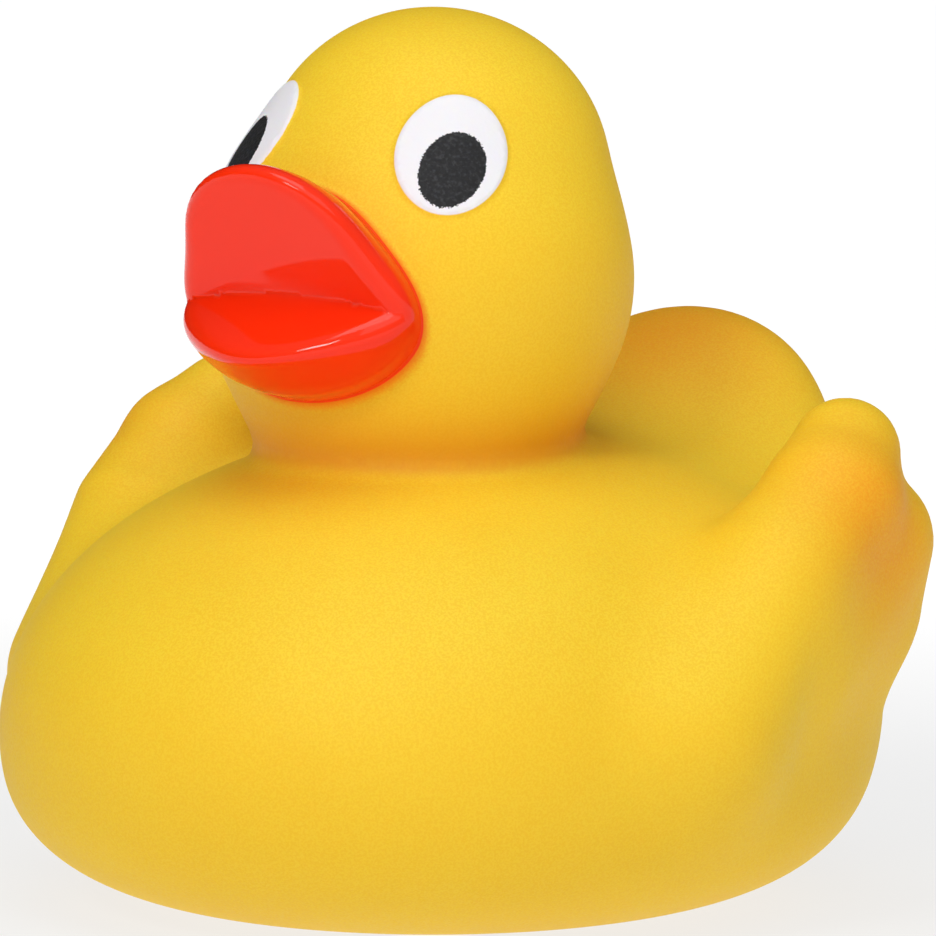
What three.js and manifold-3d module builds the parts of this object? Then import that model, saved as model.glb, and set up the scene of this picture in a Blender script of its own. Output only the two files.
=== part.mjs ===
// Rubber duck: a hollow bath toy, rotocast in one piece from soft vinyl.
//
// Millimetres. +Z is up, the duck faces -Y and its left side is +X. The origin is the middle
// of its footprint, on the surface that it stands on.
//
// The skin is described by signed distances, negative inside the duck: rounded primitives that
// melt into each other. One offset of the same distance gives the inner wall, so the vinyl has an
// even thickness everywhere except in the tips, which fill up solid.

import * as THREE from "three";
import { mergeVertices } from "three/addons/utils/BufferGeometryUtils.js";
import Module from "manifold-3d";

// ---------------------------------------------------------------------------------------------
// Driving dimensions
// ---------------------------------------------------------------------------------------------

const WALL = 2.2; // thickness of the vinyl
const VENT_DIAMETER = 3.6; // the one hole, in the middle of the base
const PLAN_MIDDLE = 1.67; // how far the middle of the plan lies behind the middle of the base
const VINYL = { color: 0xf2c21e, roughness: 0.42, metalness: 0 };

// The hull: a wide chest and a narrower stern, with a flat base.
const CHEST = { centre: [0, -0.9, 15.1], radii: [36.7, 40, 25.8] };
const STERN = { centre: [0, 10.7, 20.5], radii: [29.5, 30.7, 18.5] };
const STERN_BLEND = 7.5;
const BASE_ROUNDING = 12; // between the hull's side and its bottom
const KEEL = 0.8; // how far the rounded bottom would reach below the flat that is cut across it

// The tail: a broad fin that leans back.
const TAIL = { centre: [0, 31.8, 34], radii: [17, 10.1, 17.4], leanBack: 31 };
const TAIL_BLEND = 13;

// The left wing: an upper feather that sweeps from shoulder over elbow and wrist to its tip, and a
// lower feather behind it, a lobe with three rounded corners. The right wing is its mirror image.
const SHOULDER = { at: [33.2, -9, 18.3], radius: 6 };
const ELBOW = { at: [34.5, 0.6, 30.9], radius: 6.1 };
const WRIST = { at: [34.8, 7.5, 36.5], radius: 5.9 };
const UPPER_TIP = { at: [33.5, 11.4, 40.3], radius: 4.7 };
const LOWER_ROOT = { at: [33, 2, 25.5], radius: 6.5 };
const LOWER_TOP = { at: [33.7, 13.8, 32.7], radius: 6.2 };
const LOWER_TIP = { at: [30.3, 15.2, 27.5], radius: 7.4 };
const WRIST_BLEND = 1;
const LOBE_BLEND = 2.5; // between the two edges that leave its root
const FEATHER_BLEND = 2.4; // upper into lower feather
const WING_BLEND = 7; // wing into hull

// The head: an egg with its wide end at the cheeks, on a waisted neck.
const CHEEKS = { at: [0, -5.1, 54.4], radius: 17.35 };
const CROWN = { at: [0, -2.7, 62.85], radius: 14.65 };
const NECK = { at: [0, -5.1, 42.4], radius: 13.2 };
const HEAD_WIDTH = 1.06; // sideways stretch of head and neck
const NECK_BLEND = 2.6; // neck into cheeks
const COLLAR_BLEND = 2.5; // neck into hull

// The open bill: an upper and a lower lip, cut by a V-shaped mouth. Both lips flare towards their
// rims: they narrow by RATE for each millimetre behind START, and by the same about HEIGHT.
const UPPER_BILL = { centre: [0, -24.4, 56.6], radii: [9.4, 16.6, 8.5] };
const LOWER_BILL = { centre: [0, -21.1, 52.9], radii: [11.8, 8, 8] };
const LIP_BLEND = 2.8;
const FLARE = { rate: 0.1, start: 2.7, height: 56, softness: 1.5 };
const MOUTH_CREASE = { y: -23.5, z: 53.8, bow: 0.6, arch: 1.45, halfWidth: 12.5 };
const PALATE_SLOPE = 59; // degrees above level, leaning forward
const TONGUE_SLOPE = 40; // degrees below level
const RIM_ROUNDING = 1.6;
const BILL_BLEND = 1.6;

// The eyes: raised ovals on the cheeks, the left one facing AZIMUTH to the left of straight ahead.
const EYE = { centre: [10.9, -15, 65.8], azimuth: 43.5, elevation: 34, halfWidth: 4.7 };
const EYE_HALF_HEIGHT = 5.9;
const EYE_TILT = 18; // top leaning towards the back of the head
const EYE_RAISE = 0.35;

// The space that is searched for the surface, how finely, and how many facets are kept.
const SPAN = [[-45, 45], [-48, 50], [-5, 84]];
const SKIN_STEP = 1;
const SKIN_FACETS = 8200;
const CAVITY_STEP = 3.26;
const CAVITY_FACETS = 2200;

// ---------------------------------------------------------------------------------------------
// Signed distances
// ---------------------------------------------------------------------------------------------

const { abs, cos, max, min, sign, sin, sqrt } = Math;
const radians = THREE.MathUtils.degToRad;

// The lower of two distances, with a fillet of about k where they meet.
function smoothMin(a, b, k) {
  const h = THREE.MathUtils.clamp(0.5 + (0.5 * (b - a)) / k, 0, 1);
  return b + (a - b) * h - k * h * (1 - h);
}

// The higher of two distances, with an edge rounded by about k.
const smoothMax = (a, b, k) => -smoothMin(-a, -b, k);

// Ellipsoid, optionally tipped backwards about the X axis.
function ellipsoid({ centre, radii, leanBack = 0 }) {
  const c = cos(radians(leanBack));
  const s = sin(radians(leanBack));
  const [rx, ry, rz] = radii;
  return (x, y, z) => {
    const dx = x - centre[0];
    const dy = (y - centre[1]) * c - (z - centre[2]) * s;
    const dz = (y - centre[1]) * s + (z - centre[2]) * c;
    const k0 = Math.hypot(dx / rx, dy / ry, dz / rz);
    const k1 = Math.hypot(dx / rx ** 2, dy / ry ** 2, dz / rz ** 2);
    return k1 > 0 ? (k0 * (k0 - 1)) / k1 : -min(rx, ry, rz);
  };
}

// Two balls and the cone that is tangent to both.
function roundCone(from, to) {
  const a = new THREE.Vector3(...from.at);
  const axis = new THREE.Vector3(...to.at).sub(a);
  const dr = from.radius - to.radius;
  const length2 = axis.lengthSq();
  const slant2 = length2 - dr * dr;
  const p = new THREE.Vector3();
  const across = new THREE.Vector3();
  return (x, y, z) => {
    p.set(x, y, z).sub(a);
    const along = p.dot(axis);
    const beyond = along - length2;
    across.copy(p).multiplyScalar(length2).addScaledVector(axis, -along);
    const across2 = across.lengthSq();
    const k = sign(dr) * dr * dr * across2;
    if (sign(beyond) * slant2 * beyond * beyond * length2 > k) {
      return sqrt(across2 + beyond * beyond * length2) / length2 - to.radius;
    }
    if (sign(along) * slant2 * along * along * length2 < k) {
      return sqrt(across2 + along * along * length2) / length2 - from.radius;
    }
    return (sqrt((across2 * slant2) / length2) + along * dr) / length2 - from.radius;
  };
}

const chest = ellipsoid(CHEST);
const stern = ellipsoid(STERN);
const tail = ellipsoid(TAIL);
const upperArm = roundCone(SHOULDER, ELBOW);
const forearm = roundCone(ELBOW, WRIST);
const finger = roundCone(WRIST, UPPER_TIP);
const lobeTop = roundCone(LOWER_ROOT, LOWER_TOP);
const lobeEnd = roundCone(LOWER_TOP, LOWER_TIP);
const lobeBottom = roundCone(LOWER_ROOT, LOWER_TIP);
const skull = roundCone(CHEEKS, CROWN);
const neck = roundCone(NECK, CHEEKS);
const upperBill = ellipsoid(UPPER_BILL);
const lowerBill = ellipsoid(LOWER_BILL);

// How far inside the open mouth a point is from the palate and from the tongue.
function mouth(x, y, z) {
  const aside = (x / MOUTH_CREASE.halfWidth) ** 2;
  const dy = y - MOUTH_CREASE.y - MOUTH_CREASE.bow * aside;
  const dz = z - MOUTH_CREASE.z + MOUTH_CREASE.arch * aside;
  const palate = -(dy * sin(radians(PALATE_SLOPE)) + dz * cos(radians(PALATE_SLOPE)));
  const tongue = dz * cos(radians(TONGUE_SLOPE)) - dy * sin(radians(TONGUE_SLOPE));
  return { palate, tongue };
}

function bill(x, y, z) {
  const { palate, tongue } = mouth(x, y, z);
  const widening = 1 + FLARE.rate * smoothMax(-palate - FLARE.start, 0, FLARE.softness);
  const fx = x * widening;
  const fz = FLARE.height + (z - FLARE.height) * widening;
  const lips = smoothMin(upperBill(fx, y, fz), lowerBill(fx, y, fz), LIP_BLEND);
  return smoothMax(lips, min(palate, tongue), RIM_ROUNDING);
}

// The left eye's own axes: outwards, then across and up along the oval.
const eyeOut = new THREE.Vector3(
  sin(radians(EYE.azimuth)) * cos(radians(EYE.elevation)),
  -cos(radians(EYE.azimuth)) * cos(radians(EYE.elevation)),
  sin(radians(EYE.elevation)),
);
const eyeAcross = new THREE.Vector3(0, 0, 1).cross(eyeOut).normalize();
eyeAcross.applyAxisAngle(eyeOut, -radians(EYE_TILT));
const eyeUp = eyeOut.clone().cross(eyeAcross);

// 1 on an eye's oval, falling to 0 over its soft edge.
function eyeOval(x, y, z) {
  const p = new THREE.Vector3(x, y, z).sub(new THREE.Vector3(...EYE.centre));
  if (abs(p.dot(eyeOut)) > EYE_HALF_HEIGHT) {
    return 0;
  }
  const reach = Math.hypot(p.dot(eyeAcross) / EYE.halfWidth, p.dot(eyeUp) / EYE_HALF_HEIGHT);
  return 1 - THREE.MathUtils.smoothstep(reach, 0.94, 1.06);
}

function duck(x, y, z) {
  const side = abs(x);
  let d = smoothMin(chest(x, y, z), stern(x, y, z), STERN_BLEND);
  d = smoothMax(d, -z - KEEL, BASE_ROUNDING);
  d = smoothMin(d, tail(x, y, z), TAIL_BLEND);

  const arm = min(upperArm(side, y, z), forearm(side, y, z));
  const upperFeather = smoothMin(arm, finger(side, y, z), WRIST_BLEND);
  const root = smoothMin(lobeTop(side, y, z), lobeBottom(side, y, z), LOBE_BLEND);
  const lobe = min(root, lobeEnd(side, y, z));
  const wing = smoothMin(upperFeather, lobe, FEATHER_BLEND);
  d = smoothMin(d, wing, WING_BLEND);

  const hx = x / HEAD_WIDTH;
  const head = smoothMin(skull(hx, y, z), neck(hx, y, z), NECK_BLEND);
  d = smoothMin(d, head - EYE_RAISE * eyeOval(side, y, z), COLLAR_BLEND);
  return smoothMin(d, bill(x, y, z), BILL_BLEND);
}

// ---------------------------------------------------------------------------------------------
// From distances to facets
// ---------------------------------------------------------------------------------------------

// A closed surface where the field is zero: one vertex in each grid cell that the surface passes
// through, and one quad around each grid edge that it crosses.
function surfaceOf(field, step) {
  const [nx, ny, nz] = SPAN.map(([from, to]) => Math.ceil((to - from) / step));
  const corner = (i, j, k) => {
    return new THREE.Vector3(SPAN[0][0] + i * step, SPAN[1][0] + j * step, SPAN[2][0] + k * step);
  };
  const at = (i, j, k) => (i * ny + j) * nz + k;
  const value = new Float64Array(nx * ny * nz);
  for (let i = 0; i < nx; i++) {
    for (let j = 0; j < ny; j++) {
      for (let k = 0; k < nz; k++) {
        value[at(i, j, k)] = field(...corner(i, j, k));
      }
    }
  }

  const points = [];
  const vertexOf = new Map();
  const vertexIn = (i, j, k) => {
    const cell = at(i, j, k);
    if (!vertexOf.has(cell)) {
      const point = new THREE.Vector3();
      let crossings = 0;
      for (let edge = 0; edge < 12; edge++) {
        const axis = edge >> 2;
        const a = [edge & 1, (edge >> 1) & 1];
        a.splice(axis, 0, 0);
        const b = [...a];
        b[axis] = 1;
        const from = value[at(i + a[0], j + a[1], k + a[2])];
        const to = value[at(i + b[0], j + b[1], k + b[2])];
        if (from < 0 !== to < 0) {
          const start = corner(i + a[0], j + a[1], k + a[2]);
          const end = corner(i + b[0], j + b[1], k + b[2]);
          point.add(start.lerp(end, from / (from - to)));
          crossings += 1;
        }
      }
      vertexOf.set(cell, points.length);
      points.push(ontoSurface(field, point.divideScalar(crossings)));
    }
    return vertexOf.get(cell);
  };

  const faces = [];
  const units = [[1, 0, 0], [0, 1, 0], [0, 0, 1]];
  for (let i = 1; i < nx - 1; i++) {
    for (let j = 1; j < ny - 1; j++) {
      for (let k = 1; k < nz - 1; k++) {
        for (let axis = 0; axis < 3; axis++) {
          const [u, v, w] = [units[(axis + 1) % 3], units[(axis + 2) % 3], units[axis]];
          const here = value[at(i, j, k)] < 0;
          const next = value[at(i + w[0], j + w[1], k + w[2])] < 0;
          if (here === next) {
            continue;
          }
          const ring = [
            vertexIn(i - u[0] - v[0], j - u[1] - v[1], k - u[2] - v[2]),
            vertexIn(i - v[0], j - v[1], k - v[2]),
            vertexIn(i, j, k),
            vertexIn(i - u[0], j - u[1], k - u[2]),
          ];
          if (!here) {
            ring.reverse();
          }
          faces.push([ring[0], ring[1], ring[2]], [ring[0], ring[2], ring[3]]);
        }
      }
    }
  }
  return { points, faces };
}

// The nearby point that lies on the surface itself.
function ontoSurface(field, point) {
  const h = 0.02;
  const slope = new THREE.Vector3();
  for (let i = 0; i < 3; i++) {
    const { x, y, z } = point;
    slope.set(
      (field(x + h, y, z) - field(x - h, y, z)) / (2 * h),
      (field(x, y + h, z) - field(x, y - h, z)) / (2 * h),
      (field(x, y, z + h) - field(x, y, z - h)) / (2 * h),
    );
    const steepness = max(slope.lengthSq(), 0.25);
    point.addScaledVector(slope, -field(x, y, z) / steepness);
  }
  return point;
}

// How far a vertex may stray from the planes of the facets that it stands for: a sum of squared
// distances, p.A.p + 2 b.p + c, kept as its ten numbers.
function planeError(a, b, c) {
  const normal = b.clone().sub(a).cross(c.clone().sub(a));
  const weight = normal.length() / 2;
  normal.normalize();
  const { x, y, z } = normal;
  const d = -normal.dot(a);
  return [x * x, x * y, x * z, y * y, y * z, z * z, x * d, y * d, z * d, d * d].map((n) => n * weight);
}

function errorAt(q, { x, y, z }) {
  const quadratic = q[0] * x * x + q[3] * y * y + q[5] * z * z;
  const mixed = q[1] * x * y + q[2] * x * z + q[4] * y * z;
  const linear = q[6] * x + q[7] * y + q[8] * z;
  return quadratic + 2 * mixed + 2 * linear + q[9];
}

// The best single point for an edge that shrinks, held lightly to its middle.
function bestPoint(q, middle) {
  const hold = 1e-3 * (q[0] + q[3] + q[5]);
  const matrix = new THREE.Matrix3(
    q[0] + hold, q[1], q[2],
    q[1], q[3] + hold, q[4],
    q[2], q[4], q[5] + hold,
  );
  const right = middle.clone().multiplyScalar(hold);
  right.sub(new THREE.Vector3(q[6], q[7], q[8]));
  return right.applyMatrix3(matrix.invert());
}

const EVENNESS = 2e-3; // how much a long edge costs beyond its error

// Shrinks the least important edges until about `target` facets are left.
function simplified({ points, faces }, target) {
  const errors = points.map(() => new Array(10).fill(0));
  for (const face of faces) {
    const error = planeError(...face.map((v) => points[v]));
    face.forEach((v) => error.forEach((n, i) => (errors[v][i] += n)));
  }

  const turn = (a, b, c) => b.clone().sub(a).cross(c.clone().sub(a));
  let left = faces;
  let progress = true;
  while (left.length > target && progress) {
    const around = points.map(() => []);
    const neighbours = points.map(() => new Set());
    const edges = [];
    for (const face of left) {
      face.forEach((a, i) => {
        const b = face[(i + 1) % 3];
        around[a].push(face);
        neighbours[a].add(b);
        neighbours[b].add(a);
        if (a < b) {
          const error = errors[a].map((n, j) => n + errors[b][j]);
          const middle = points[a].clone().lerp(points[b], 0.5);
          const point = bestPoint(error, middle);
          const length2 = points[a].distanceToSquared(points[b]);
          edges.push({ a, b, point, error, cost: errorAt(error, point) + EVENNESS * length2 ** 2 });
        }
      });
    }
    edges.sort((one, other) => one.cost - other.cost);

    const busy = new Uint8Array(points.length);
    const mergedInto = points.map((_, v) => v);
    const quota = min(left.length - target, left.length * 0.15);
    let removed = 0;
    for (const { a, b, point, error } of edges) {
      if (removed >= quota) {
        break;
      }
      const shared = [...neighbours[a]].filter((v) => neighbours[b].has(v));
      if (busy[a] || busy[b] || shared.length !== 2) {
        continue;
      }
      const folds = [a, b].some((v) => around[v].some((face) => {
        if (face.includes(a) && face.includes(b)) {
          return false;
        }
        const before = turn(...face.map((n) => points[n]));
        const after = turn(...face.map((n) => (n === v ? point : points[n])));
        return before.dot(after) < 0.3 * before.length() * after.length();
      }));
      if (folds) {
        continue;
      }
      points[a] = point;
      errors[a] = error;
      mergedInto[b] = a;
      [...neighbours[a], ...neighbours[b]].forEach((v) => (busy[v] = 1));
      removed += 2;
    }
    progress = removed > 0;
    left = left
      .map((face) => face.map((v) => mergedInto[v]))
      .filter(([a, b, c]) => a !== b && b !== c && c !== a);
  }
  return { points, faces: left };
}

// ---------------------------------------------------------------------------------------------
// Solids
// ---------------------------------------------------------------------------------------------

const wasm = await Module();
wasm.setup();

function solidOf(geometry) {
  geometry.deleteAttribute("normal");
  geometry.deleteAttribute("uv");
  const merged = mergeVertices(geometry, 1e-4);
  const vertProperties = new Float32Array(merged.attributes.position.array);
  const triVerts = new Uint32Array(merged.index.array);
  return new wasm.Manifold(new wasm.Mesh({ numProp: 3, vertProperties, triVerts }));
}

function geometryOf(solid) {
  const mesh = solid.getMesh();
  const geometry = new THREE.BufferGeometry();
  geometry.setAttribute("position", new THREE.BufferAttribute(mesh.vertProperties, 3));
  geometry.setIndex(new THREE.BufferAttribute(mesh.triVerts, 1));
  return geometry;
}

// The solid inside a field's surface.
function bodyOf(field, step, facets) {
  const { points, faces } = simplified(surfaceOf(field, step), facets);
  const geometry = new THREE.BufferGeometry();
  geometry.setAttribute("position", new THREE.Float32BufferAttribute(points.flatMap((p) => [...p]), 3));
  geometry.setIndex(faces.flat());
  return solidOf(geometry);
}

// Everything below a level, as a cutter.
function below(level) {
  const geometry = new THREE.BoxGeometry(200, 200, 50);
  geometry.translate(0, 0, level - 25);
  return solidOf(geometry);
}

const skin = bodyOf(duck, SKIN_STEP, SKIN_FACETS).subtract(below(0));
const hollow = bodyOf((x, y, z) => duck(x, y, z) + WALL, CAVITY_STEP, CAVITY_FACETS).subtract(below(WALL));

const ventGeometry = new THREE.CylinderGeometry(VENT_DIAMETER / 2, VENT_DIAMETER / 2, 3 * WALL, 24);
ventGeometry.rotateX(Math.PI / 2);
const vent = solidOf(ventGeometry);

const shell = skin.subtract(hollow).subtract(vent);

const model = new THREE.Group();
const duckShell = new THREE.Mesh(geometryOf(shell), new THREE.MeshStandardMaterial(VINYL));
duckShell.name = "duck_shell";
duckShell.position.y = -PLAN_MIDDLE;
model.add(duckShell);

export default model;
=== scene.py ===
"""A rubber duck: one soft vinyl shell with painted bill and eyes, on a pale floor.

Lengths in the shape code are millimetres, as in the CAD part; the mesh is scaled to metres.
"""

import math

import bpy
import numpy as np
from mathutils import Matrix, Vector


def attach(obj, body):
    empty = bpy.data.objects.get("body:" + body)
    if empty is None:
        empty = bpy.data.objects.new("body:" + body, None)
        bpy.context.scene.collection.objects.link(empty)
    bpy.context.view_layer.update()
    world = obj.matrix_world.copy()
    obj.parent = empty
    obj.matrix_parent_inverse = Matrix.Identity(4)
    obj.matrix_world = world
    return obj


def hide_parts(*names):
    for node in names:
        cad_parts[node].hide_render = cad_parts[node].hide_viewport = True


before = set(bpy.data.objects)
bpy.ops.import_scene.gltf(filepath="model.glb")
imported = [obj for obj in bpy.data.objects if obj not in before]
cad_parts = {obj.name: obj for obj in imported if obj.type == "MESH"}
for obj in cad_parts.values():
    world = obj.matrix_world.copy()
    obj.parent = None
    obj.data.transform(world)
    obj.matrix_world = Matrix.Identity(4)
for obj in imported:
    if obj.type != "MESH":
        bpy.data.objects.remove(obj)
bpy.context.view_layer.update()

MM = 0.001

# ---------------------------------------------------------------------------------------------
# Driving dimensions, as in the CAD part
# ---------------------------------------------------------------------------------------------

PLAN_MIDDLE = 1.67  # the Y of the shape code that becomes 0 in the frame
VENT_DIAMETER = 3.6
VENT_DEPTH = 7.0

# The hull: a wide chest and a narrower stern, with a flat base.
CHEST = dict(centre=(0, -0.9, 15.1), radii=(36.7, 40, 25.8))
STERN = dict(centre=(0, 10.7, 20.5), radii=(29.5, 30.7, 18.5))
STERN_BLEND = 7.5
BASE_ROUNDING = 12
KEEL = 0.8

# The tail: a broad lobe that leans back.
TAIL = dict(centre=(0, 31.8, 34), radii=(17, 10.1, 17.4), lean_back=31)
TAIL_BLEND = 13

# The left wing, as balls on a spine: an upper feather from shoulder to tip, and a lower feather
# behind it, a lobe with three rounded corners. The right wing is its mirror image.
SHOULDER = ((33.2, -9, 18.3), 6)
ELBOW = ((34.5, 0.6, 30.9), 6.1)
WRIST = ((34.8, 7.5, 36.5), 5.9)
UPPER_TIP = ((33.5, 11.4, 40.3), 4.7)
LOWER_ROOT = ((33, 2, 25.5), 6.5)
LOWER_TOP = ((33.7, 13.8, 32.7), 6.2)
LOWER_TIP = ((30.3, 15.2, 27.5), 7.4)
WRIST_BLEND = 1
LOBE_BLEND = 2.5
FEATHER_BLEND = 2.4
WING_BLEND = 7

# The head: an egg with its wide end at the cheeks, on a waisted neck.
CHEEKS = ((0, -5.1, 54.4), 17.35)
CROWN = ((0, -2.7, 62.85), 14.65)
NECK = ((0, -5.1, 42.4), 13.2)
HEAD_WIDTH = 1.06
NECK_BLEND = 2.6
COLLAR_BLEND = 2.5

# The open bill: an upper and a lower lip, cut by a V-shaped mouth. Both lips flare to their rims.
UPPER_BILL = dict(centre=(0, -24.4, 56.6), radii=(9.4, 16.6, 8.5))
LOWER_BILL = dict(centre=(0, -21.1, 52.9), radii=(11.8, 8, 8))
LIP_BLEND = 2.8
FLARE = 0.1
FLARE_START = 2.7
FLARE_HEIGHT = 56
FLARE_SOFTNESS = 1.5
CREASE_Y = -23.5
CREASE_Z = 53.8
CREASE_BOW = 0.6
CREASE_ARCH = 1.45
CREASE_HALF_WIDTH = 12.5
PALATE_SLOPE = math.radians(59)
TONGUE_SLOPE = math.radians(40)
RIM_ROUNDING = 1.6
BILL_BLEND = 1.6

# The left eye: a raised oval, placed by azimuth from straight ahead about the middle of the head.
EYE_DISTANCE = 14.7
EYE_AZIMUTH = math.radians(47.7)
EYE_TURN = math.radians(-4.2)
EYE_HEIGHT = 65.8
EYE_ELEVATION = math.radians(34)
EYE_HALF_WIDTH = 4.7
EYE_HALF_HEIGHT = 5.9
EYE_TILT = math.radians(18)
EYE_RAISE = 0.35
EYE_EDGE = (0.94, 1.06)

# ---------------------------------------------------------------------------------------------
# Dimensions of the paint and the grid, which the CAD part does not have
# ---------------------------------------------------------------------------------------------

# The left pupil. The right eye and pupil mirror the left ones, but for a small shift and rise.
PUPIL_DISTANCE = 15.6
PUPIL_AZIMUTH = math.radians(47.2)
PUPIL_HEIGHT = 64.4
PUPIL_HALF_WIDTH = 2.72
PUPIL_HALF_HEIGHT = 3.78
PUPIL_TILT = math.radians(26)
RIGHT_EYE_SHIFT = math.radians(-7)
RIGHT_EYE_RISE = 1.1

# Airbrushed spots, mirrored on the right: the middle, how far the paint fades out, its strength.
SPRAY = (
    ((40, 6.5, 35.8), 7.5, 1.1),  # the outside of the wing
    ((39, 13, 29), 8, 0.4),  # its lower feather
    ((0, 33, 48), 12, 1.0),  # the top of the tail
)
# Painted shade in the neck's crease, which fades out from it.
SHADE_UP_NECK = 5.0  # how far the deeper colour of the neck's crease fades out up the neck
SHADE_ON_HULL = 0.9  # and on the hull around it

# The searched space and the sizes of its cells, smaller around head and bill.
SPAN = ((-45, 45), (-48, 50), (-5, 84))
FINE = ((-18, 18), (-35, 13), (43, 84))
COARSE_STEP = 0.85
FINE_STEP = 0.46
SETTLING_ROUNDS = 4
SETTLING_REACH = 0.3
FLATTEST_SLOPE = 0.3

# ---------------------------------------------------------------------------------------------
# Signed distances, negative inside
# ---------------------------------------------------------------------------------------------


def smooth_min(a, b, k):
    """The lower of two distances, with a fillet of about k where they meet."""
    h = np.clip(0.5 + 0.5 * (b - a) / k, 0, 1)
    return b + (a - b) * h - k * h * (1 - h)


def smooth_max(a, b, k):
    """The higher of two distances, with an edge rounded by about k."""
    return -smooth_min(-a, -b, k)


def smoothstep(value, low, high):
    t = np.clip((value - low) / (high - low), 0, 1)
    return t * t * (3 - 2 * t)


def ellipsoid(x, y, z, centre, radii, lean_back=0):
    """An ellipsoid, tipped backwards about the X axis by an angle in degrees."""
    c = math.cos(math.radians(lean_back))
    s = math.sin(math.radians(lean_back))
    dx = x - centre[0]
    dy = (y - centre[1]) * c - (z - centre[2]) * s
    dz = (y - centre[1]) * s + (z - centre[2]) * c
    k0 = np.sqrt((dx / radii[0]) ** 2 + (dy / radii[1]) ** 2 + (dz / radii[2]) ** 2)
    k1 = np.sqrt((dx / radii[0] ** 2) ** 2 + (dy / radii[1] ** 2) ** 2 + (dz / radii[2] ** 2) ** 2)
    return k0 * (k0 - 1) / np.maximum(k1, 1e-6)


def round_cone(x, y, z, start, end):
    """Two balls and the cone that is tangent to both."""
    (a, radius_a), (b, radius_b) = start, end
    axis = np.subtract(b, a).astype(float)
    length2 = axis @ axis
    dr = radius_a - radius_b
    slant2 = length2 - dr * dr
    px, py, pz = x - a[0], y - a[1], z - a[2]
    along = px * axis[0] + py * axis[1] + pz * axis[2]
    beyond = along - length2
    across2 = (
        (px * length2 - axis[0] * along) ** 2
        + (py * length2 - axis[1] * along) ** 2
        + (pz * length2 - axis[2] * along) ** 2
    )
    k = np.sign(dr) * dr * dr * across2
    past_end = np.sign(beyond) * slant2 * beyond * beyond * length2 > k
    before_start = np.sign(along) * slant2 * along * along * length2 < k
    side = (np.sqrt(across2 * slant2 / length2) + along * dr) / length2 - radius_a
    at_end = np.sqrt(across2 + beyond * beyond * length2) / length2 - radius_b
    at_start = np.sqrt(across2 + along * along * length2) / length2 - radius_a
    return np.where(past_end, at_end, np.where(before_start, at_start, side))


def unit(vector):
    return vector / np.linalg.norm(vector)


def oval_reach(x, y, z, distance, azimuth, height, half_width, half_height, tilt):
    """0 in the middle of a leaning oval on the left of the head, 1 on its outline, more outside."""
    facing = azimuth + EYE_TURN
    out = np.array([
        math.sin(facing) * math.cos(EYE_ELEVATION),
        -math.cos(facing) * math.cos(EYE_ELEVATION),
        math.sin(EYE_ELEVATION),
    ])
    level = unit(np.cross((0, 0, 1), out))
    upright = np.cross(out, level)
    across = level * math.cos(tilt) - upright * math.sin(tilt)
    up = np.cross(out, across)
    px = x - distance * math.sin(azimuth)
    py = y - CHEEKS[0][1] + distance * math.cos(azimuth)
    pz = z - height
    u = (px * across[0] + py * across[1] + pz * across[2]) / half_width
    v = (px * up[0] + py * up[1] + pz * up[2]) / half_height
    depth = np.abs(px * out[0] + py * out[1] + pz * out[2])
    far_outside = 9
    return np.where(depth > EYE_HALF_HEIGHT, far_outside, np.sqrt(u * u + v * v))


def both_sides(reach, x, y, z):
    """An oval on each side of the head, the right one a little higher and nearer to the bill."""
    return np.where(x > 0, reach(x, y, z, 0), reach(-x, y, z - RIGHT_EYE_RISE, RIGHT_EYE_SHIFT))


def eye_reach(x, y, z):
    def reach(side, y, z, shift):
        place = (EYE_DISTANCE, EYE_AZIMUTH + shift, EYE_HEIGHT)
        return oval_reach(side, y, z, *place, EYE_HALF_WIDTH, EYE_HALF_HEIGHT, EYE_TILT)

    return both_sides(reach, x, y, z)


def pupil_reach(x, y, z):
    def reach(side, y, z, shift):
        place = (PUPIL_DISTANCE, PUPIL_AZIMUTH + shift, PUPIL_HEIGHT)
        return oval_reach(side, y, z, *place, PUPIL_HALF_WIDTH, PUPIL_HALF_HEIGHT, PUPIL_TILT)

    return both_sides(reach, x, y, z)


def hull_field(x, y, z):
    """The body with its tail and wings, without head and bill."""
    side = np.abs(x)
    d = smooth_min(ellipsoid(x, y, z, **CHEST), ellipsoid(x, y, z, **STERN), STERN_BLEND)
    d = smooth_max(d, -z - KEEL, BASE_ROUNDING)
    d = smooth_min(d, ellipsoid(x, y, z, **TAIL), TAIL_BLEND)
    upper = np.minimum(
        round_cone(side, y, z, SHOULDER, ELBOW), round_cone(side, y, z, ELBOW, WRIST)
    )
    upper = smooth_min(upper, round_cone(side, y, z, WRIST, UPPER_TIP), WRIST_BLEND)
    lower = smooth_min(
        round_cone(side, y, z, LOWER_ROOT, LOWER_TOP),
        round_cone(side, y, z, LOWER_ROOT, LOWER_TIP),
        LOBE_BLEND,
    )
    lower = np.minimum(lower, round_cone(side, y, z, LOWER_TOP, LOWER_TIP))
    wing = smooth_min(upper, lower, FEATHER_BLEND)
    return smooth_min(d, wing, WING_BLEND)


def head_field(x, y, z):
    """Head and neck, with the raised eyes."""
    hx = x / HEAD_WIDTH
    head = smooth_min(
        round_cone(hx, y, z, CHEEKS, CROWN), round_cone(hx, y, z, NECK, CHEEKS), NECK_BLEND
    )
    raised = 1 - smoothstep(eye_reach(x, y, z), *EYE_EDGE)
    return head - EYE_RAISE * raised


def mouth_fields(x, y, z):
    """How far inside the open mouth a point is from the palate and from the tongue."""
    aside = (x / CREASE_HALF_WIDTH) ** 2
    dy = y - CREASE_Y - CREASE_BOW * aside
    dz = z - CREASE_Z + CREASE_ARCH * aside
    palate = -(dy * math.sin(PALATE_SLOPE) + dz * math.cos(PALATE_SLOPE))
    tongue = dz * math.cos(TONGUE_SLOPE) - dy * math.sin(TONGUE_SLOPE)
    return palate, tongue


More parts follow.
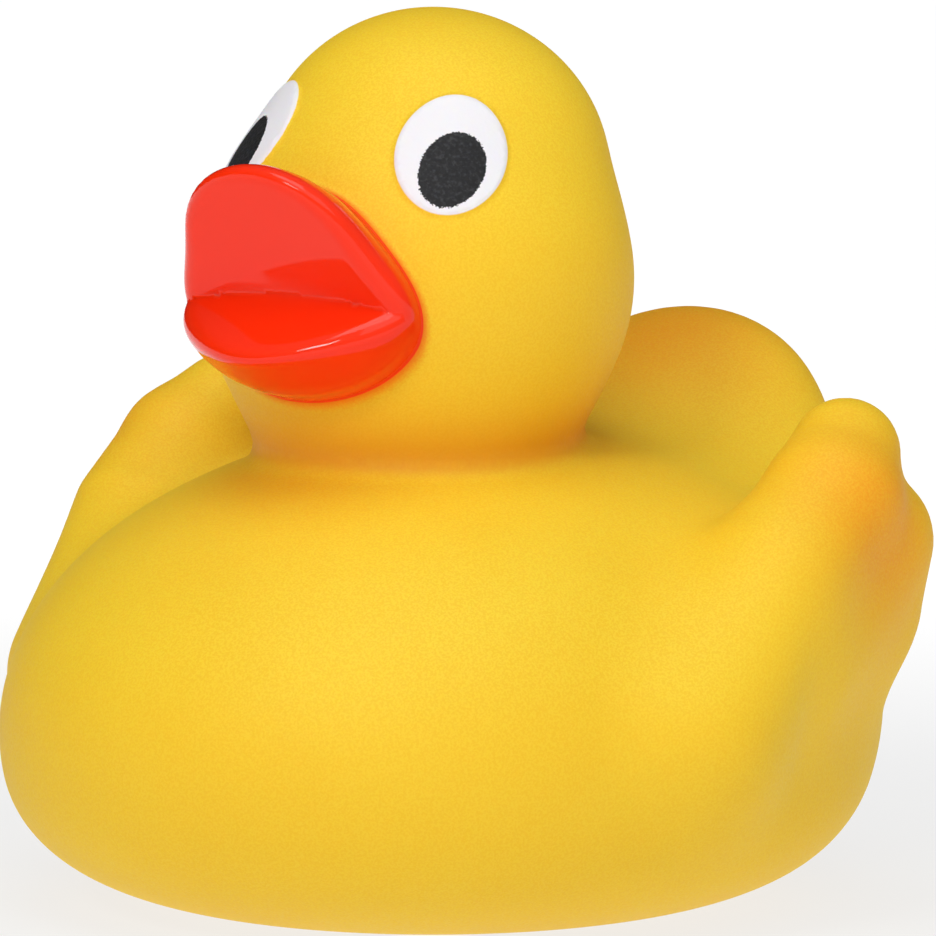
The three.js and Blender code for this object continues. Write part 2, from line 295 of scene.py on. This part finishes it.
def bill_field(x, y, z):
    """Both lips, narrower behind their rims and cut open by the mouth."""
    palate, tongue = mouth_fields(x, y, z)
    taper = 1 / (1 + FLARE * smooth_max(-palate - FLARE_START, 0, FLARE_SOFTNESS))
    fx, fz = x / taper, FLARE_HEIGHT + (z - FLARE_HEIGHT) / taper
    lips = smooth_min(
        ellipsoid(fx, y, fz, **UPPER_BILL), ellipsoid(fx, y, fz, **LOWER_BILL), LIP_BLEND
    )
    return smooth_max(lips, np.minimum(palate, tongue), RIM_ROUNDING)


def duck_field(x, y, z):
    """The whole skin, with the vent in its base."""
    body = smooth_min(hull_field(x, y, z), head_field(x, y, z), COLLAR_BLEND)
    skin = smooth_min(body, bill_field(x, y, z), BILL_BLEND)
    vent = np.maximum(np.sqrt(x * x + y * y) - VENT_DIAMETER / 2, z - VENT_DEPTH)
    return np.maximum(skin, -vent)


# ---------------------------------------------------------------------------------------------
# From distances to a mesh
# ---------------------------------------------------------------------------------------------


def grid_lines(span, fine):
    """Where the grid's planes lie along one axis."""
    stretches = (
        (span[0], fine[0], COARSE_STEP),
        (fine[0], fine[1], FINE_STEP),
        (fine[1], span[1], COARSE_STEP),
    )
    lines = [np.array([span[0]], float)]
    for start, end, step in stretches:
        count = round((end - start) / step)
        lines.append(np.linspace(start, end, count + 1)[1:])
    return np.concatenate(lines)


def gradient(field, points, h=0.02):
    """The slope of a field at each point, from differences over a short way."""
    columns = []
    for axis in range(3):
        offset = np.zeros(3)
        offset[axis] = h
        ahead, behind = points + offset, points - offset
        columns.append((field(*ahead.T) - field(*behind.T)) / (2 * h))
    return np.stack(columns, axis=1)


def surface_of(field):
    """Vertices and quads of the zero surface: a vertex in each grid cell that it passes through."""
    lines = [grid_lines(s, f) for s, f in zip(SPAN, FINE)]
    value = np.stack([field(x, lines[1][:, None], lines[2][None, :]) for x in lines[0]])
    inside = value < 0
    across, deep, high = np.subtract(value.shape, 1)
    corners = sum(
        inside[i:across + i, j:deep + j, k:high + k].astype(int)
        for i in (0, 1) for j in (0, 1) for k in (0, 1)
    )
    cells = np.argwhere((corners > 0) & (corners < 8))
    vertex_of = np.full(corners.shape, -1)
    vertex_of[tuple(cells.T)] = np.arange(len(cells))

    # A cell's vertex starts at the mean of where the surface crosses the cell's edges.
    total = np.zeros((len(cells), 3))
    count = np.zeros(len(cells))
    for axis in range(3):
        for u in (0, 1):
            for v in (0, 1):
                start = np.insert(np.array([u, v]), axis, 0)
                end = np.insert(np.array([u, v]), axis, 1)
                a, b = cells + start, cells + end
                from_value, to_value = value[tuple(a.T)], value[tuple(b.T)]
                crossed = (from_value < 0) != (to_value < 0)
                t = np.where(crossed, from_value / np.where(crossed, from_value - to_value, 1), 0)
                pa = np.stack([line[a[:, i]] for i, line in enumerate(lines)], axis=1)
                pb = np.stack([line[b[:, i]] for i, line in enumerate(lines)], axis=1)
                total += np.where(crossed[:, None], pa + (pb - pa) * t[:, None], 0)
                count += crossed
    points = total / count[:, None]

    # It then settles onto the surface, a short way at a time.
    for _ in range(SETTLING_ROUNDS):
        slope = gradient(field, points)
        steep2 = np.maximum((slope ** 2).sum(axis=1), FLATTEST_SLOPE)
        step = np.clip(-field(*points.T) / steep2, -SETTLING_REACH, SETTLING_REACH)
        points += slope * step[:, None]

    # Each grid edge that the surface crosses is ringed by four cells, whose vertices make a quad.
    quads = []
    for axis in range(3):
        near_end = [slice(1, -1)] * 3
        far_end = [slice(1, -1)] * 3
        far_end[axis] = slice(2, None)
        here, ahead = inside[tuple(near_end)], inside[tuple(far_end)]
        crossing = np.argwhere(here != ahead) + 1
        starts_inside = inside[tuple(crossing.T)]
        u, v = np.zeros(3, int), np.zeros(3, int)
        u[(axis + 1) % 3] = 1
        v[(axis + 2) % 3] = 1
        ring = np.stack([
            vertex_of[tuple((crossing - shift).T)] for shift in (u + v, v, 0 * u, u)
        ], axis=1)
        ring[~starts_inside] = ring[~starts_inside][:, ::-1]
        quads.append(ring)
    return points, np.concatenate(quads)


points, quads = surface_of(duck_field)
points[:, 2] = np.maximum(points[:, 2], 0)
X, Y, Z = points.T
side = np.abs(X)

# ---------------------------------------------------------------------------------------------
# Where the paint goes, per vertex
# ---------------------------------------------------------------------------------------------

hull = hull_field(X, Y, Z)
head = head_field(X, Y, Z)
bill = bill_field(X, Y, Z)
body = smooth_min(hull, head, COLLAR_BLEND)


def near(centre, reach):
    """1 at a point on each side of the duck, and fading out over a distance from it."""
    distance = np.sqrt((side - centre[0]) ** 2 + (Y - centre[1]) ** 2 + (Z - centre[2]) ** 2)
    return np.exp(-(distance / reach) ** 2)


masks = {
    "bill_depth": body - bill,
    "eye_depth": (1 - eye_reach(X, Y, Z)) * EYE_HALF_WIDTH,
    "pupil_depth": (1 - pupil_reach(X, Y, Z)) * PUPIL_HALF_WIDTH,
    # painted shade in the neck's crease
    "neck_crease_shade": np.exp(
        -(np.maximum(hull, 0) / SHADE_UP_NECK) ** 2 - (np.maximum(head, 0) / SHADE_ON_HULL) ** 2
    ),
    "airbrush": np.clip(sum(strength * near(at, reach) for at, reach, strength in SPRAY), 0, 1),
}

mesh = bpy.data.meshes.new("duck_skin")
mesh.from_pydata(((points - (0, PLAN_MIDDLE, 0)) * MM).tolist(), [], quads.tolist())
mesh.polygons.foreach_set("use_smooth", [True] * len(mesh.polygons))
normals = gradient(duck_field, points)
normals /= np.linalg.norm(normals, axis=1, keepdims=True)
mesh.normals_split_custom_set_from_vertices(normals.tolist())
for name, values in masks.items():
    attribute = mesh.attributes.new(name, "FLOAT", "POINT")
    attribute.data.foreach_set("value", values.astype(np.float32))
mesh.validate()

duck = bpy.data.objects.new("duck_skin", mesh)
bpy.context.scene.collection.objects.link(duck)
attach(duck, "root")
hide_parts("duck_shell")

# ---------------------------------------------------------------------------------------------
# Material
# ---------------------------------------------------------------------------------------------


class Nodes:
    """Short ways to add and wire the nodes of a material or of the room."""

    def __init__(self, tree):
        self.tree = tree

    def new(self, kind, **inputs):
        node = self.tree.nodes.new(kind)
        for name, value in inputs.items():
            self.set(node.inputs[name], value)
        return node

    def set(self, socket, value):
        if isinstance(value, bpy.types.NodeSocket):
            self.tree.links.new(value, socket)
        else:
            socket.default_value = value

    def attribute(self, name):
        """One of the masks above."""
        node = self.tree.nodes.new("ShaderNodeAttribute")
        node.attribute_name = name
        return node.outputs["Fac"]

    def math(self, operation, *values):
        node = self.tree.nodes.new("ShaderNodeMath")
        node.operation = operation
        for socket, value in zip(node.inputs, values):
            self.set(socket, value)
        return node.outputs[0]

    def ramp(self, value, low, high, to_low=0.0, to_high=1.0, kind="SMOOTHSTEP"):
        """A value, led from one range to another and held at its ends."""
        node = self.tree.nodes.new("ShaderNodeMapRange")
        node.interpolation_type = kind
        self.set(node.inputs["Value"], value)
        self.set(node.inputs["From Min"], low)
        self.set(node.inputs["From Max"], high)
        self.set(node.inputs["To Min"], to_low)
        self.set(node.inputs["To Max"], to_high)
        return node.outputs["Result"]

    def mix(self, factor, a, b):
        """Colour a where the factor is 0 and b where it is 1."""
        node = self.tree.nodes.new("ShaderNodeMix")
        node.data_type = "RGBA"
        self.set(node.inputs["Factor"], factor)
        self.set(node.inputs["A"], a)
        self.set(node.inputs["B"], b)
        return node.outputs["Result"]

    def noise(self, coordinates, scale, detail=2.0):
        """Noise about 0.5, its scale in waves per metre."""
        node = self.tree.nodes.new("ShaderNodeTexNoise")
        self.set(node.inputs["Vector"], coordinates)
        node.inputs["Scale"].default_value = scale
        node.inputs["Detail"].default_value = detail
        return node.outputs["Fac"]


def linear(red, green, blue):
    """A display colour, 0 to 255, as the shader's linear one."""
    channels = []
    for value in (red / 255, green / 255, blue / 255):
        channels.append(value / 12.92 if value <= 0.04045 else ((value + 0.055) / 1.055) ** 2.4)
    return (*channels, 1)


VINYL = linear(251, 213, 50)
VINYL_DEEP = linear(243, 192, 26)
# Painted shade: the deeper yellow of the sides and below.
VINYL_PAINTED_SHADE = linear(250, 192, 26)
AIRBRUSH = linear(248, 142, 8)
# Painted shade for the neck's crease.
NECK_CREASE_SHADE = linear(226, 142, 4)
BILL_RED = linear(255, 48, 10)
BILL_OVERSPRAY = linear(250, 120, 8)
EYE_WHITE = linear(240, 238, 242)
PUPIL_BLACK = linear(24, 24, 26)
PUPIL_GREY = linear(62, 62, 66)

# How strongly each second colour shows, and how rough the two finishes are.
MOTTLE_STRENGTH = 0.2
SPECK_STRENGTH = 0.55
PAINTED_SHADE_STRENGTH = 0.33
NECK_CREASE_SHADE_STRENGTH = 0.85
SPRAY_STRENGTH = 0.7
OVERSPRAY_STRENGTH = 0.85
GREY_STRENGTH = 0.6
STIPPLE = 0.4  # of the pupils' edges, millimetres
VINYL_ROUGHNESS = (0.55, 0.7)
BILL_ROUGHNESS = 0.05
GRAIN_STRENGTH = 0.32
GRAIN_HEIGHT = 0.00006

material = bpy.data.materials.new("yellow_vinyl")
material.use_nodes = True
material.node_tree.nodes.clear()
n = Nodes(material.node_tree)
position = n.new("ShaderNodeTexCoord").outputs["Object"]

bill_depth = n.attribute("bill_depth")
eye_depth = n.attribute("eye_depth")
pupil_depth = n.attribute("pupil_depth")

mottle = n.noise(position, 60)
speck = n.noise(position, 5500, 1.0)
grain = n.noise(position, 3600)

# The vinyl is a little deeper in colour in soft patches and between its finest grains.
patches = n.ramp(mottle, 0.35, 0.7, 0.0, MOTTLE_STRENGTH)
grains = n.ramp(speck, 0.38, 0.62, 0.0, SPECK_STRENGTH)
yellow = n.mix(n.math("ADD", patches, grains), VINYL, VINYL_DEEP)

# It is also given painted shade: a little deeper on the sides and below than on top, where less
# light falls.
normal = n.new("ShaderNodeNewGeometry").outputs["Normal"]
upward = n.new("ShaderNodeSeparateXYZ", Vector=normal).outputs["Z"]
yellow = n.mix(n.ramp(upward, 0.1, 0.7, PAINTED_SHADE_STRENGTH, 0.0), yellow, VINYL_PAINTED_SHADE)

# The painted shade in the neck's crease, the airbrushed spots, and the spray that fades out around
# the bill.
yellow = n.mix(n.math("MULTIPLY", n.attribute("neck_crease_shade"), NECK_CREASE_SHADE_STRENGTH), yellow, NECK_CREASE_SHADE)
sprayed = n.math("MULTIPLY", n.attribute("airbrush"), n.ramp(speck, 0.25, 0.75, 0.7, 1.0))
yellow = n.mix(n.math("MULTIPLY", sprayed, SPRAY_STRENGTH), yellow, AIRBRUSH)
speckled = n.math("ADD", bill_depth, n.math("MULTIPLY", speck, 0.5))
yellow = n.mix(n.ramp(speckled, -1.2, 0.2, 0.0, OVERSPRAY_STRENGTH), yellow, BILL_OVERSPRAY)

# Paint: a fairly sharp edge on the bill and a finely stippled one on the pupils.
stipple = n.math("MULTIPLY", n.math("SUBTRACT", n.noise(position, 5200), 0.5), STIPPLE)
on_bill = n.ramp(bill_depth, -0.12, 0.06)
on_eye = n.ramp(eye_depth, -0.04, 0.04)
on_pupil = n.ramp(n.math("ADD", pupil_depth, stipple), -0.04, 0.04)
# The pupils' black turns a paler grey in random patches.
grey_flecks = n.ramp(n.noise(position, 3000, 3.0), 0.45, 0.75, 0.0, GREY_STRENGTH)
pupil = n.mix(grey_flecks, PUPIL_BLACK, PUPIL_GREY)

colour = n.mix(on_bill, yellow, BILL_RED)
colour = n.mix(on_eye, colour, EYE_WHITE)
colour = n.mix(on_pupil, colour, pupil)

# Finish: satin and finely grained vinyl, gloss on the bill.
roughness = n.new("ShaderNodeMix", Factor=n.ramp(bill_depth, 0.0, 0.8))
n.set(roughness.inputs["A"], n.ramp(grain, 0.3, 0.7, *VINYL_ROUGHNESS))
n.set(roughness.inputs["B"], BILL_ROUGHNESS)
texture = n.math("MULTIPLY", grain, n.math("SUBTRACT", 1.0, on_bill))
bump = n.new("ShaderNodeBump", Height=texture, Strength=GRAIN_STRENGTH, Distance=GRAIN_HEIGHT)

shader = n.new(
    "ShaderNodeBsdfPrincipled",
    **{
        "Base Color": colour,
        "Roughness": roughness.outputs["Result"],
        "Normal": bump.outputs["Normal"],
    },
)
shader.inputs["IOR"].default_value = 1.38
shader.inputs["Subsurface Weight"].default_value = 0.2
shader.inputs["Subsurface Radius"].default_value = (1.0, 0.5, 0.1)
shader.inputs["Subsurface Scale"].default_value = 0.003
n.new("ShaderNodeOutputMaterial", Surface=shader.outputs["BSDF"])
mesh.materials.append(material)

# ---------------------------------------------------------------------------------------------
# Floor, in metres
# ---------------------------------------------------------------------------------------------

# A grey floor with low upright edges. It glows white, and a little less around the duck as a
# painted shadow, which also lights the duck's underside less.
FLOOR_SIZE = 6.0
FLOOR_EDGE = 0.15
FLOOR_DROP = 0.0001  # keeps it clear of the base
FLOOR_GREY = (0.14, 0.14, 0.14, 1)
FLOOR_GLOW = 0.97
FLOOR_GLOW_IN_PAINTED_SHADOW = 0.77
GLOW_FROM = 0.06
GLOW_TO = 0.3

floor_mesh = bpy.data.meshes.new("floor")
half = FLOOR_SIZE / 2
corners = [(-half, -half), (half, -half), (half, half), (-half, half)]
floor_mesh.from_pydata(
    [(x, y, z) for z in (0, FLOOR_EDGE) for x, y in corners],
    [],
    [(0, 1, 2, 3), (1, 0, 4, 5), (2, 1, 5, 6), (3, 2, 6, 7), (0, 3, 7, 4)],
)
floor = bpy.data.objects.new("floor", floor_mesh)
floor.location.z = -FLOOR_DROP
bpy.context.scene.collection.objects.link(floor)
floor_material = bpy.data.materials.new("floor")
floor_material.use_nodes = True
floor_shader = floor_material.node_tree.nodes["Principled BSDF"]
floor_shader.inputs["Base Color"].default_value = FLOOR_GREY
floor_shader.inputs["Roughness"].default_value = 1.0
floor_shader.inputs["Specular IOR Level"].default_value = 0.0
floor_shader.inputs["Emission Color"].default_value = (1, 1, 1, 1)
n = Nodes(floor_material.node_tree)
radius = n.new("ShaderNodeVectorMath")
radius.operation = "LENGTH"
n.set(radius.inputs[0], n.new("ShaderNodeTexCoord").outputs["Object"])
# Painted shadow: the glow is dimmer near the duck.
glow = n.ramp(radius.outputs["Value"], GLOW_FROM, GLOW_TO, FLOOR_GLOW_IN_PAINTED_SHADOW, FLOOR_GLOW)
n.set(floor_shader.inputs["Emission Strength"], glow)
floor_mesh.materials.append(floor_material)

# ---------------------------------------------------------------------------------------------
# Room, camera and lamps, in metres and degrees
# ---------------------------------------------------------------------------------------------


def towards(azimuth, elevation):
    """A direction, its azimuth counted from straight ahead of the duck round to its left."""
    a, e = math.radians(azimuth), math.radians(elevation)
    return Vector((math.sin(a) * math.cos(e), -math.cos(a) * math.cos(e), math.sin(e)))


# The room is brightest high on the duck's front left, and dim from a quarter turn away.
ROOM_AZIMUTH = 60
ROOM_ELEVATION = 55
ROOM_BRIGHT = 0.5
ROOM_DIM = 0.02

world = bpy.data.worlds.new("studio")
world.use_nodes = True
n = Nodes(world.node_tree)
facing = n.new("ShaderNodeVectorMath")
facing.operation = "DOT_PRODUCT"
n.set(facing.inputs[0], n.new("ShaderNodeTexCoord").outputs["Generated"])
n.set(facing.inputs[1], towards(ROOM_AZIMUTH, ROOM_ELEVATION))
brightness = n.ramp(facing.outputs["Value"], 0, 1, ROOM_DIM, ROOM_BRIGHT, "LINEAR")
background = world.node_tree.nodes["Background"]
background.inputs["Color"].default_value = (1, 1, 1, 1)
n.set(background.inputs["Strength"], brightness)
bpy.context.scene.world = world
bpy.context.scene.view_settings.view_transform = "Standard"

CAMERA_AZIMUTH = 36.19
CAMERA_ELEVATION = 5.57
CAMERA_DISTANCE = 0.639
CAMERA_ROLL = math.radians(0.77)
CAMERA_LENS = 283.7
CAMERA_TARGET = Vector((0, -PLAN_MIDDLE, 34.2)) * MM
AIM_RIGHT = 0.00174  # how far beside and above the target the camera aims
AIM_UP = 0.00336

back = towards(CAMERA_AZIMUTH, CAMERA_ELEVATION)
level_right = towards(CAMERA_AZIMUTH + 90, 0)
level_up = back.cross(level_right)
right = level_right * math.cos(CAMERA_ROLL) + level_up * math.sin(CAMERA_ROLL)
up = back.cross(right)


def looking(place, target, up_hint):
    """The placement of a camera or lamp at a place, facing a target."""
    z = (place - target).normalized()
    x = up_hint.cross(z).normalized()
    y = z.cross(x)
    turn = Matrix((x, y, z)).transposed()
    return Matrix.Translation(place) @ turn.to_4x4()


camera_data = bpy.data.cameras.new("camera")
camera_data.lens = CAMERA_LENS
camera_data.sensor_width = 36
camera_data.clip_start = 0.01
camera = bpy.data.objects.new("camera", camera_data)
bpy.context.scene.collection.objects.link(camera)
camera_place = CAMERA_TARGET + back * CAMERA_DISTANCE
camera_target = CAMERA_TARGET + right * AIM_RIGHT + up * AIM_UP
camera.matrix_world = looking(camera_place, camera_target, up)
bpy.context.scene.camera = camera

LAMP_TARGET = Vector((0, 0, 0.035))
LAMP_DISTANCE = 0.9


def soft_box(name, azimuth, elevation, width, height, power):
    """A rectangular lamp that faces the middle of the duck, its power in watts."""
    data = bpy.data.lights.new(name, "AREA")
    data.shape = "RECTANGLE"
    data.size = width
    data.size_y = height
    data.energy = power
    lamp = bpy.data.objects.new(name, data)
    bpy.context.scene.collection.objects.link(lamp)
    place = towards(azimuth, elevation) * LAMP_DISTANCE + LAMP_TARGET
    lamp.matrix_world = looking(place, LAMP_TARGET, Vector((0, 0, 1)))


soft_box("key", 9, 31, width=0.22, height=0.14, power=2.0)
soft_box("fill", 55, 45, width=0.7, height=0.5, power=1.2)
soft_box("top", 20, 72, width=0.5, height=0.5, power=2.1)
